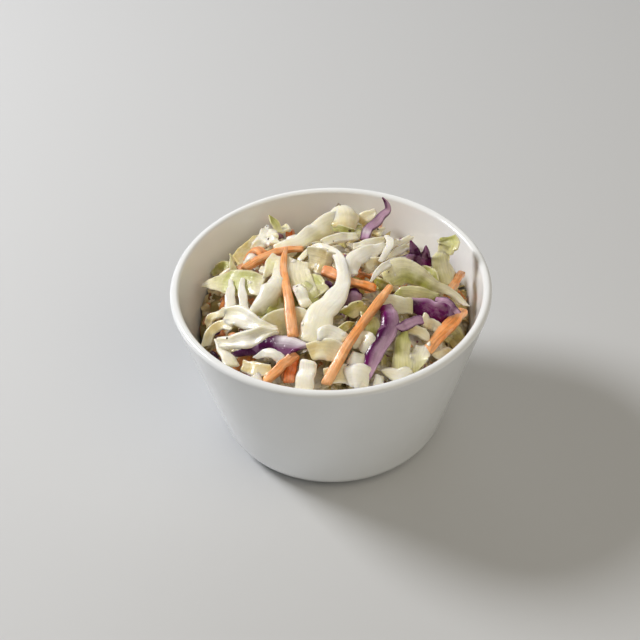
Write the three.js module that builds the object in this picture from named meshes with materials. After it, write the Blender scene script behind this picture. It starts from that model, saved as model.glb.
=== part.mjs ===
// A side-dish bowl of coleslaw: a plain tapered porcelain bowl and the heap of shredded salad in it.
// Millimetres, +Z up. The origin is on the table under the bowl's centre.
import * as THREE from "three";

// ---- The bowl ----
const rimRadius = 55; // the outermost, at the lip
const bowlHeight = 62;
const wall = 3.2; // thickness of the side and of the lip
const lipRound = 1.5; // radius on both edges of the lip
const wallLean = THREE.MathUtils.degToRad(15.4); // outward from the vertical
const heelRadius = 10; // the large round between side and underside
const innerHeelRadius = 12;
const floorThickness = 5;
const footRadius = 25; // the underside inside this is hollowed, which leaves a flat ring to stand on
const footHollow = 1.2;
const bowlSides = 72;

// ---- The heap of salad ----
const clearance = 0.3; // between salad and bowl, so that the two solids stay apart
const crown = 1.5; // mean height of the heap's middle above the lip
const drop = 14.5; // how far the heap falls from its middle to the wall
const dropPower = 2.2;
const tilt = 2.5; // the heap stands this much higher at +X, and this much lower at -X
const saladSides = 88;
const topRings = 25;
const shreds = {
  count: 44, // shreds that stand out of the outline as ridges
  shortest: 18,
  longest: 36,
  halfWidth: 5.5,
  height: 3,
  reach: 42, // furthest middle of a shred from the axis
};

const slope = Math.tan(wallLean);
const lipCentreZ = bowlHeight - lipRound;
const lipCentreR = rimRadius - lipRound;
const outerRadiusAt = (z) => lipCentreR + lipRound / Math.cos(wallLean) - (lipCentreZ - z) * slope;
const innerRadiusAt = (z) => outerRadiusAt(z) - wall / Math.cos(wallLean);
const fillRadiusAt = (z) => innerRadiusAt(z) - clearance / Math.cos(wallLean);

// Points on an arc in the profile plane, from one angle to another in degrees, both ends included.
function arc(centre, radius, from, to, steps) {
  const points = [];
  for (let i = 0; i <= steps; i++) {
    const a = THREE.MathUtils.degToRad(from + ((to - from) * i) / steps);
    points.push(new THREE.Vector2(centre.x + radius * Math.cos(a), centre.y + radius * Math.sin(a)));
  }
  return points;
}

// The centre of a round that touches a level line at height z and the wall line that radiusAt gives.
function heelCentre(radius, z, radiusAt) {
  return new THREE.Vector2(radiusAt(z + radius) - radius / Math.cos(wallLean), z + radius);
}

// Half section of the bowl, from the middle of the underside round the outside to the middle of the inside.
function bowlProfile() {
  const lean = THREE.MathUtils.radToDeg(wallLean);
  const lipOut = new THREE.Vector2(lipCentreR, lipCentreZ);
  const lipIn = new THREE.Vector2(innerRadiusAt(lipCentreZ) + lipRound / Math.cos(wallLean), lipCentreZ);
  return [
    new THREE.Vector2(0, footHollow),
    new THREE.Vector2(footRadius - footHollow, footHollow),
    new THREE.Vector2(footRadius, 0),
    ...arc(heelCentre(heelRadius, 0, outerRadiusAt), heelRadius, -90, -lean, 7),
    ...arc(lipOut, lipRound, -lean, 90, 7),
    ...arc(lipIn, lipRound, 90, 180 - lean, 4),
    ...arc(heelCentre(innerHeelRadius, floorThickness, innerRadiusAt), innerHeelRadius, -lean, -90, 5),
    new THREE.Vector2(0, floorThickness),
  ];
}

// A profile turned about the vertical axis, which three.js turns about its own Y.
function turned(profile, sides) {
  const geometry = new THREE.LatheGeometry(profile, sides);
  geometry.rotateX(Math.PI / 2);
  return geometry;
}

// Height of the salad's mean surface.
function heapHeight(x, y) {
  const out = Math.hypot(x, y) / innerRadiusAt(bowlHeight - drop);
  return bowlHeight + crown - drop * Math.pow(out, dropPower) + tilt * (x / rimRadius);
}

// The shreds that make the outline uneven: each is a short straight ridge lying on the heap.
function shredRidges() {
  const goldenAngle = Math.PI * (3 - Math.sqrt(5));
  const ridges = [];
  for (let i = 0; i < shreds.count; i++) {
    const out = shreds.reach * Math.sqrt((i + 0.5) / shreds.count);
    const around = i * goldenAngle;
    const heading = 0.7 * i * i; // turns on unevenly, so that neighbours cross
    const length = THREE.MathUtils.lerp(shreds.shortest, shreds.longest, 0.5 + 0.5 * Math.sin(2.3 * i));
    ridges.push({
      middle: new THREE.Vector2(out * Math.cos(around), out * Math.sin(around)),
      along: new THREE.Vector2(Math.cos(heading), Math.sin(heading)),
      half: length / 2,
      height: shreds.height * (0.6 + 0.4 * Math.sin(1.7 * i)),
    });
  }
  return ridges;
}

// How far the tallest ridge at this place stands over the mean surface.
function ridgeHeight(ridges, x, y) {
  let tallest = 0;
  for (const ridge of ridges) {
    const from = new THREE.Vector2(x, y).sub(ridge.middle);
    const along = THREE.MathUtils.clamp(from.dot(ridge.along), -ridge.half, ridge.half);
    const away = from.sub(ridge.along.clone().multiplyScalar(along)).length() / shreds.halfWidth;
    if (away < 1) tallest = Math.max(tallest, ridge.height * Math.cos((away * Math.PI) / 2) ** 2);
  }
  return tallest;
}

// The heap: a turned blank that fills the bowl to a level top, whose top rings are then lifted to the
// heap's surface and spread with the wall, so that the heap meets the bowl all round.
function saladGeometry() {
  const bottom = floorThickness + clearance;
  const blankTop = bowlHeight + crown - drop - tilt; // under the lowest place where the heap meets the wall
  const edgeRadius = fillRadiusAt(blankTop);
  const profile = [new THREE.Vector2(0, bottom)];
  const lean = THREE.MathUtils.radToDeg(wallLean);
  profile.push(...arc(heelCentre(innerHeelRadius, bottom, fillRadiusAt), innerHeelRadius, -90, -lean, 5));
  for (let i = 0; i <= topRings; i++) profile.push(new THREE.Vector2(edgeRadius * (1 - i / topRings), blankTop));
  const geometry = turned(profile, saladSides);
  const ridges = shredRidges();
  const place = geometry.getAttribute("position");
  for (let i = 0; i < place.count; i++) {
    if (Math.abs(place.getZ(i) - blankTop) > 1e-3) continue;
    const x = place.getX(i);
    const y = place.getY(i);
    const top = Math.max(blankTop, heapHeight(x, y) + ridgeHeight(ridges, x, y));
    const spread = fillRadiusAt(Math.min(top, lipCentreZ)) / edgeRadius;
    const share = Math.pow(Math.hypot(x, y) / edgeRadius, 4); // only the outermost rings follow the wall
    const scale = 1 + (spread - 1) * share;
    place.setXYZ(i, x * scale, y * scale, top);
  }
  return geometry;
}

const porcelain = new THREE.MeshStandardMaterial({
  name: "white_porcelain",
  color: 0xeeeeeb,
  roughness: 0.15,
  metalness: 0,
});
const dressedCabbage = new THREE.MeshStandardMaterial({
  name: "dressed_cabbage",
  color: 0xe6e3c4,
  roughness: 0.4,
  metalness: 0,
});

function piece(name, geometry, material) {
  const mesh = new THREE.Mesh(geometry, material);
  mesh.name = name;
  return mesh;
}

const coleslaw = new THREE.Group();
coleslaw.add(piece("bowl", turned(bowlProfile(), bowlSides), porcelain));
coleslaw.add(piece("coleslaw", saladGeometry(), dressedCabbage));

export default coleslaw;
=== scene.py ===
import math
import bmesh
import bpy
import numpy as np
from mathutils import Matrix, Vector


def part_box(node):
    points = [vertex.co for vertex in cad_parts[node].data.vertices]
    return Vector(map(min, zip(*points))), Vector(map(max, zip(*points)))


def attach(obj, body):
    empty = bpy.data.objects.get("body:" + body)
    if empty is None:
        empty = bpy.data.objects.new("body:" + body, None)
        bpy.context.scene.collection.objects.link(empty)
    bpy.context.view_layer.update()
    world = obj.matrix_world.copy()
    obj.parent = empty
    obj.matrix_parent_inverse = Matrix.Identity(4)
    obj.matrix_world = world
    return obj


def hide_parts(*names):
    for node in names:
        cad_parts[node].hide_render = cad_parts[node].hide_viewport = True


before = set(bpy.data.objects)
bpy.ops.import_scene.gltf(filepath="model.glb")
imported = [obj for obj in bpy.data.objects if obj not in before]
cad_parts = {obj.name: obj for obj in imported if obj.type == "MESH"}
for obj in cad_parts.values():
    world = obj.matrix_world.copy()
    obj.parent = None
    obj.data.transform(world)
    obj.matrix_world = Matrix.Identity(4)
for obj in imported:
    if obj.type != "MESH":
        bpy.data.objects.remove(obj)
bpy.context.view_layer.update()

mm = 0.001
bowlHigh = np.array(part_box("bowl")[1]) / mm
up = np.array([0.0, 0.0, 1.0])
toward = np.array([0.0, -0.3, 1.0])  # up, and a little to the front


# Small helpers that every piece uses.

def toLinear(hexColour):
    # "#rrggbb" as seen on a screen, to the linear colour that shaders work with
    parts = [int(hexColour[i:i + 2], 16) / 255 for i in (1, 3, 5)]
    return np.array([c / 12.92 if c <= 0.04045 else ((c + 0.055) / 1.055) ** 2.4 for c in parts])


def rgba(hexColour):
    return (*toLinear(hexColour), 1.0)


def addNode(tree, kind, links=None, **settings):
    # links: input name or number -> a socket to link from, or a value to set
    node = tree.nodes.new(kind)
    for key, value in settings.items():
        setattr(node, key, value)
    for key, value in (links or {}).items():
        if isinstance(value, bpy.types.NodeSocket):
            tree.links.new(value, node.inputs[key])
        else:
            node.inputs[key].default_value = value
    return node


def newMaterial(name):
    material = bpy.data.materials.new(name)
    material.use_nodes = True
    material.node_tree.nodes.clear()
    return material, material.node_tree


def newTree(name, inputs):
    # a node tree that takes and gives geometry, and takes further inputs, each of them an Int or a Float
    tree = bpy.data.node_groups.new(name, "GeometryNodeTree")
    for label, kind in {"Geometry": "Geometry", **inputs}.items():
        tree.interface.new_socket(label, in_out="INPUT", socket_type="NodeSocket" + kind)
    tree.interface.new_socket("Geometry", in_out="OUTPUT", socket_type="NodeSocketGeometry")
    return tree


def shaped(holder, tree, values, name):
    # what a node tree makes of an object, as a piece of its own; the holder is removed
    work = holder.modifiers.new("work", "NODES")
    work.node_group = tree
    for item in tree.interface.items_tree:
        if item.name in values:
            work[item.identifier] = values[item.name]
    bpy.context.view_layer.update()
    graph = bpy.context.evaluated_depsgraph_get()
    mesh = bpy.data.meshes.new_from_object(holder.evaluated_get(graph))
    bpy.data.objects.remove(holder)
    mesh.name = name
    piece = bpy.data.objects.new(name, mesh)
    bpy.context.collection.objects.link(piece)
    return piece


# The view and the light.
view = {
    "elevation": 41.52,  # degrees above level
    "roll": -1.75,
    "distance": 0.55,
    "lookAt": (-0.0040, 0.0, 0.0451),
    "lens": 88.73,
    "nearest": 0.01,
}
lights = {
    # name: place in metres, width in metres, watts, colour
    "key": ((-0.66, 0.30, 0.62), 0.30, 7.9, "#fcfbfc"),
    "fill": ((0.42, -0.46, 0.84), 0.90, 3.4, "#fff2da"),
    "back": ((0.10, 0.90, 0.45), 0.80, 1.0, "#ffffff"),
}
surroundings = {
    "colour": "#ebe7df",
    "strength": 0.24,
    "lightsAim": (0, 0, 0.04),
    "floor": "#c6c8ca",
    "floorRoughness": 0.7,
    "floorSize": 8.0,
}


def makeView():
    camera = bpy.data.objects.new("camera", bpy.data.cameras.new("camera"))
    bpy.context.collection.objects.link(camera)
    camera.data.lens = view["lens"]
    camera.data.clip_start = view["nearest"]
    elevation = math.radians(view["elevation"])
    back = Vector((0, -math.cos(elevation), math.sin(elevation))) * view["distance"]
    tilt = Matrix.Rotation(math.radians(90 - view["elevation"]), 4, "X")
    roll = Matrix.Rotation(math.radians(view["roll"]), 4, "Z")
    camera.matrix_world = Matrix.Translation(Vector(view["lookAt"]) + back) @ tilt @ roll
    bpy.context.scene.camera = camera


def makeLights():
    for name, (place, width, watts, colour) in lights.items():
        lamp = bpy.data.lights.new(name, "AREA")
        lamp.shape = "DISK"
        lamp.size = width
        lamp.energy = watts
        lamp.color = toLinear(colour)
        holder = bpy.data.objects.new(name, lamp)
        bpy.context.collection.objects.link(holder)
        holder.location = place
        aim = Vector(surroundings["lightsAim"]) - Vector(place)
        holder.rotation_euler = aim.to_track_quat("-Z", "Y").to_euler()
    world = bpy.data.worlds.new("studio")
    bpy.context.scene.world = world
    world.use_nodes = True
    sky = world.node_tree.nodes["Background"]
    sky.inputs["Color"].default_value = rgba(surroundings["colour"])
    sky.inputs["Strength"].default_value = surroundings["strength"]


def makeFloor():
    half = surroundings["floorSize"] / 2
    mesh = bpy.data.meshes.new("floor")
    corners = [(-half, -half, 0), (half, -half, 0), (half, half, 0), (-half, half, 0)]
    mesh.from_pydata(corners, [], [(0, 1, 2, 3)])
    floor = bpy.data.objects.new("floor", mesh)
    bpy.context.collection.objects.link(floor)
    material, tree = newMaterial("matt paint, pale")
    shader = addNode(tree, "ShaderNodeBsdfPrincipled", {
        "Base Color": rgba(surroundings["floor"]), "Roughness": surroundings["floorRoughness"]})
    addNode(tree, "ShaderNodeOutputMaterial", {"Surface": shader.outputs[0]})
    mesh.materials.append(material)


makeView()
makeLights()
makeFloor()
bpy.context.scene.view_settings.view_transform = "Standard"
print("view, light and floor are set")


# The bowl, in millimetres.
bowl = {
    "radius": float(bowlHigh[0]),  # the outermost, at the lip
    "height": float(bowlHigh[2]),
    "wall": 3.2,
    "lean": 15.4,  # degrees outward from the vertical
    "lipRound": 1.5,
    "heelRound": 10.0,  # the large round between side and underside
    "innerHeelRound": 12.0,
    "floor": 5.0,
    "foot": 25.0,  # the foot is a flat ring, hollowed inside this
    "hollow": 1.2,
    "hollowRound": 0.6,
    "footRound": 0.5,
    "bareBelow": 0.12,  # the glaze is wiped off up to this height
    "weld": 0.02,
    "sides": 200,
    "roundSteps": 10,
}
porcelain = {
    "glazes": ("#eceff1", "#f1f4f6"),
    "bare": "#dedad0",
    "wave": 16.7,  # width of the glaze's slow waves
    "haze": 2.9,  # width of its patches of softer shine
    "grit": 0.33,
}
slope = math.tan(math.radians(bowl["lean"]))
wallAcross = bowl["wall"] / math.cos(math.radians(bowl["lean"]))  # the wall's thickness measured level


def outerRadius(z):
    lipZ = bowl["height"] - bowl["lipRound"]
    lipReach = bowl["radius"] - bowl["lipRound"] + bowl["lipRound"] / math.cos(math.radians(bowl["lean"]))
    return lipReach - (lipZ - z) * slope


def innerRadius(z):
    return outerRadius(z) - wallAcross


def glazedPorcelain():
    # Fired porcelain under clear glaze: white, slightly cool, with a sharp shine and a faint waviness.
    material, tree = newMaterial("porcelain, glazed")
    place = addNode(tree, "ShaderNodeTexCoord").outputs["Object"]
    wavy = addNode(tree, "ShaderNodeTexNoise", {
        "Vector": place, "Scale": 1 / (porcelain["wave"] * mm), "Detail": 1.0})
    hazy = addNode(tree, "ShaderNodeTexNoise", {
        "Vector": place, "Scale": 1 / (porcelain["haze"] * mm), "Detail": 2.0})
    gloss = addNode(tree, "ShaderNodeMapRange", {
        "Value": hazy.outputs["Fac"], "To Min": 0.13, "To Max": 0.22})
    bump = addNode(tree, "ShaderNodeBump", {
        "Height": wavy.outputs["Fac"], "Strength": 0.25, "Distance": 0.4 * mm})
    first, second = porcelain["glazes"]
    tone = addNode(tree, "ShaderNodeMix", {
        0: wavy.outputs["Fac"], 6: rgba(first), 7: rgba(second)}, data_type="RGBA")
    shader = addNode(tree, "ShaderNodeBsdfPrincipled", {
        "Base Color": tone.outputs[2], "Roughness": gloss.outputs["Result"],
        "Normal": bump.outputs["Normal"], "IOR": 1.5, "Coat Weight": 0.35, "Coat Roughness": 0.06})
    addNode(tree, "ShaderNodeOutputMaterial", {"Surface": shader.outputs[0]})
    return material


def barePorcelain():
    # The foot ring is wiped free of glaze before firing: matt, a little darker, faintly gritty.
    material, tree = newMaterial("porcelain, bare")
    place = addNode(tree, "ShaderNodeTexCoord").outputs["Object"]
    grit = addNode(tree, "ShaderNodeTexNoise", {
        "Vector": place, "Scale": 1 / (porcelain["grit"] * mm), "Detail": 2.0})
    bump = addNode(tree, "ShaderNodeBump", {
        "Height": grit.outputs["Fac"], "Strength": 0.4, "Distance": 0.1 * mm})
    shader = addNode(tree, "ShaderNodeBsdfPrincipled", {
        "Base Color": rgba(porcelain["bare"]), "Roughness": 0.75, "Normal": bump.outputs["Normal"]})
    addNode(tree, "ShaderNodeOutputMaterial", {"Surface": shader.outputs[0]})
    return material


def bowlProfile():
    # corners of the half section and how far each is rounded, in millimetres
    top = bowl["height"]
    return [
        (0, bowl["hollow"], 0),
        (bowl["foot"] - bowl["hollow"], bowl["hollow"], bowl["hollowRound"]),
        (bowl["foot"], 0, bowl["footRound"]),
        (outerRadius(0), 0, bowl["heelRound"]),
        (outerRadius(top), top, bowl["lipRound"]),
        (innerRadius(top), top, bowl["lipRound"]),
        (innerRadius(bowl["floor"]), bowl["floor"], bowl["innerHeelRound"]),
        (0, bowl["floor"], 0),
    ]


def turningTree(material, footMaterial):
    # rounds a profile's corners and turns it about the vertical axis
    tree = newTree("turned on the wheel", {
        "Sides": "Int", "Round steps": "Int", "Path radius": "Float", "Weld": "Float",
        "Bare below": "Float"})
    given = addNode(tree, "NodeGroupInput").outputs
    cornerRound = addNode(tree, "GeometryNodeInputRadius")
    rounded = addNode(tree, "GeometryNodeFilletCurve", {
        "Curve": given["Geometry"], "Count": given["Round steps"],
        "Radius": cornerRound.outputs[0], "Limit Radius": True}, mode="POLY")
    circle = addNode(tree, "GeometryNodeCurvePrimitiveCircle", {
        "Resolution": given["Sides"], "Radius": given["Path radius"]})
    turned = addNode(tree, "GeometryNodeCurveToMesh", {
        "Curve": circle.outputs["Curve"], "Profile Curve": rounded.outputs["Curve"]})
    merged = addNode(tree, "GeometryNodeMergeByDistance", {
        "Geometry": turned.outputs["Mesh"], "Distance": given["Weld"]})
    place = addNode(tree, "GeometryNodeInputPosition")
    height = addNode(tree, "ShaderNodeSeparateXYZ", {"Vector": place.outputs[0]})
    low = addNode(tree, "FunctionNodeCompare", {
        "A": height.outputs["Z"], "B": given["Bare below"]}, operation="LESS_THAN")
    whole = addNode(tree, "GeometryNodeRealizeInstances", {"Geometry": merged.outputs["Geometry"]})
    glazed = addNode(tree, "GeometryNodeSetMaterial", {
        "Geometry": whole.outputs["Geometry"], "Material": material})
    footed = addNode(tree, "GeometryNodeSetMaterial", {
        "Geometry": glazed.outputs["Geometry"], "Selection": low.outputs[0], "Material": footMaterial})
    addNode(tree, "NodeGroupOutput", {"Geometry": footed.outputs["Geometry"]})
    return tree


def cleanUp(piece, distance=0.01 * mm):
    work = bmesh.new()
    work.from_mesh(piece.data)
    bmesh.ops.remove_doubles(work, verts=work.verts, dist=distance)
    bmesh.ops.recalc_face_normals(work, faces=work.faces)
    for face in work.faces:
        face.smooth = True
    work.to_mesh(piece.data)
    work.free()


def makeBowl():
    corners = bowlProfile()
    curve = bpy.data.curves.new("bowl profile", "CURVE")
    curve.dimensions = "3D"
    line = curve.splines.new("POLY")
    line.points.add(len(corners) - 1)
    pathRadius = bowl["radius"] / 2  # the profile is carried round on a circle of this radius
    for point, (r, z, cornerRound) in zip(line.points, corners):
        point.co = ((r - pathRadius) * mm, -z * mm, 0, 1)
        point.radius = cornerRound * mm
    holder = bpy.data.objects.new("bowl profile", curve)
    bpy.context.collection.objects.link(holder)
    piece = shaped(holder, turningTree(glazedPorcelain(), barePorcelain()), {
        "Sides": bowl["sides"], "Round steps": bowl["roundSteps"], "Path radius": pathRadius * mm,
        "Weld": bowl["weld"] * mm, "Bare below": bowl["bareBelow"] * mm}, "bowl.glazed")
    cleanUp(piece)
    return piece


bowlPiece = makeBowl()
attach(bowlPiece, "root")
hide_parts("bowl")
bowlSides = [round(side / mm, 2) for side in bowlPiece.dimensions]
print("bowl:", bowlSides, "mm,", len(bowlPiece.data.polygons), "faces")


# The heap: its mean surface, and how the shreds are tinted.
heap = {
    "crown": 1.5,  # mean height of the middle above the lip
    "drop": 14.5,  # fall from the middle to the wall
    "power": 2.2,
    "tilt": 2.5,  # this much higher at +X, and lower at -X
    "coreDepth": 7.5,  # the core lies this far under the mean surface
    "wallGap": 0.15,  # clear distance from the wall
    # the deeper a shred lies, the yellower and darker it is painted: partly dressing and juice, partly
    # painted shade in the gaps between shreds
    "soakAndShadeFrom": 3.5,  # above this over the mean surface nothing is tinted by soaking or painted shade
    "soakAndShadeOver": 9.0,
    "soakAndShadeTint": "#ead19a",
    "juiceAndShadeFrom": -2.0,  # and below this the shreds lie in juice, and are painted browner and darker still, partly as shade
    "juiceAndShadeOver": 5.0,
    "juiceAndShadeTint": "#967040",
    "seed": 11,
}
colours = {
    # shade is a painted shade: a darker yellow for shreds that lie in shadow
    "white": "#f8f4e6", "cream": "#f3ebcb", "shade": "#dfcb90", "brown": "#8a5a2c",
    "pale": "#e5e0a8", "green": "#c8ca7b", "olive": "#a3a247",
    # the whitish milk below serves only as painted highlights on red cabbage
    "plum": "#45013e", "violet": "#770967", "lilac": "#cfa8c7", "milkHighlight": "#f3ecf2",
    "carrot": "#f99131", "coated": "#fdb374", "deep": "#df6a1b",
}


def heapHeight(x, y):
    out = np.hypot(x, y) / innerRadius(bowl["height"] - heap["drop"])
    level = bowl["height"] + heap["crown"] - heap["drop"] * out ** heap["power"]
    return level + heap["tilt"] * x / bowl["radius"]


def smooth(values, width):
    # mean over a window of neighbours
    pad = width // 2
    longer = np.concatenate([np.full(pad, values[0]), values, np.full(pad, values[-1])])
    return np.convolve(longer, np.ones(2 * pad + 1) / (2 * pad + 1), "valid")


def smoothPath(points, spacing):
    # a smooth curve through the points, as evenly spaced places and the way run to each
    p = np.array(points, float)
    p = np.vstack([2 * p[0] - p[1], p, 2 * p[-1] - p[-2]])
    t = np.linspace(0, 1, 12, endpoint=False)[:, None]
    bits = []
    for a, b, c, d in zip(p, p[1:], p[2:], p[3:]):
        bent = (2 * a - 5 * b + 4 * c - d) * t ** 2
        bits.append(0.5 * (2 * b + (c - a) * t + bent + (3 * b - a - 3 * c + d) * t ** 3))
    fine = np.vstack(bits + [p[-2:-1]])
    run = np.concatenate([[0], np.cumsum(np.linalg.norm(np.diff(fine, axis=0), axis=1))])
    count = max(6, int(round(run[-1] / spacing)) + 1)
    where = np.linspace(0, run[-1], count)
    return np.stack([np.interp(where, run, fine[:, k]) for k in range(3)], 1), where


def spread(values, share):
    # a short list of values drawn out smoothly over shares 0 to 1
    values = np.atleast_1d(np.array(values, float))
    if len(values) == 1:
        return np.full(len(share), values[0]) if values.ndim == 1 else np.repeat(values, len(share), axis=0)
    at = share * (len(values) - 1)
    low = np.clip(at.astype(int), 0, len(values) - 2)
    t = at - low
    t = t * t * (3 - 2 * t) * 0.6 + t * 0.4
    t = t if values.ndim == 1 else t[:, None]
    return values[low] * (1 - t) + values[low + 1] * t


def wander(share, chance, size, turns=3):
    # a soft irregular swing around nought
    total = np.zeros(len(share))
    for k in range(1, turns + 1):
        tall = chance.normal() / k
        total += tall * np.sin(2 * math.pi * (k * share * chance.uniform(0.7, 1.3) + chance.random()))
    return total * size


# How each kind of shred is cut, unless its row says otherwise; sizes in millimetres, angles in degrees.
# Curl bends it across its width, ruffle waves its edges, square squares its section, groove hollows its
# middle, lump dents it, and slant is the knife's. Turning and stiff say how it lies when it is dropped.
kinds = {
    "ribbon": dict(
        thick=1.4, roll=[0], curl=[0.3], ruffle=[0.35], ruffleLength=13, square=0.5, groove=0.3, lump=0.2,
        slant=25, tint=["cream", "white", "cream"], coat=[], edge=("white", 0.6), around=16, spacing=0.8,
        turning=0.05, stiff=13),
    "rib": dict(
        thick=3.0, roll=[0], curl=[-0.25], ruffle=[0], ruffleLength=11, square=0.45, groove=0.08, lump=0.3,
        slant=12, tint=["white", "white", "cream"], coat=[], edge=None, around=18, spacing=0.8,
        turning=0.05, stiff=13),
    "leaf": dict(
        thick=0.9, roll=[0], curl=[0.4], ruffle=[1.0], ruffleLength=8, square=0.55, groove=0.0, lump=0.25,
        slant=35, tint=["pale", "green", "pale"], coat=[], edge=("cream", 0.7), around=20, spacing=0.7,
        turning=0.05, stiff=13),
    "red": dict(
        thick=1.4, roll=[0], curl=[0.4], ruffle=[0.4], ruffleLength=9, square=0.5, groove=0.1, lump=0.15,
        slant=25, tint=["violet", "plum", "violet"], coat=[("top", "lilac", 0.7, (0, 1))],
        edge=("plum", 0.9), around=18, spacing=0.7, turning=0.05, stiff=13),
    "carrot": dict(
        thick=2.7, roll=[8], curl=[0.05], ruffle=[0], ruffleLength=11, square=0.42, groove=0.05, lump=0.1,
        slant=12, tint=["coated", "carrot", "coated"], coat=[("top", "coated", 0.7, (0, 1))], edge=None,
        around=16, spacing=0.9, turning=0.02, stiff=31),
}


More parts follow.
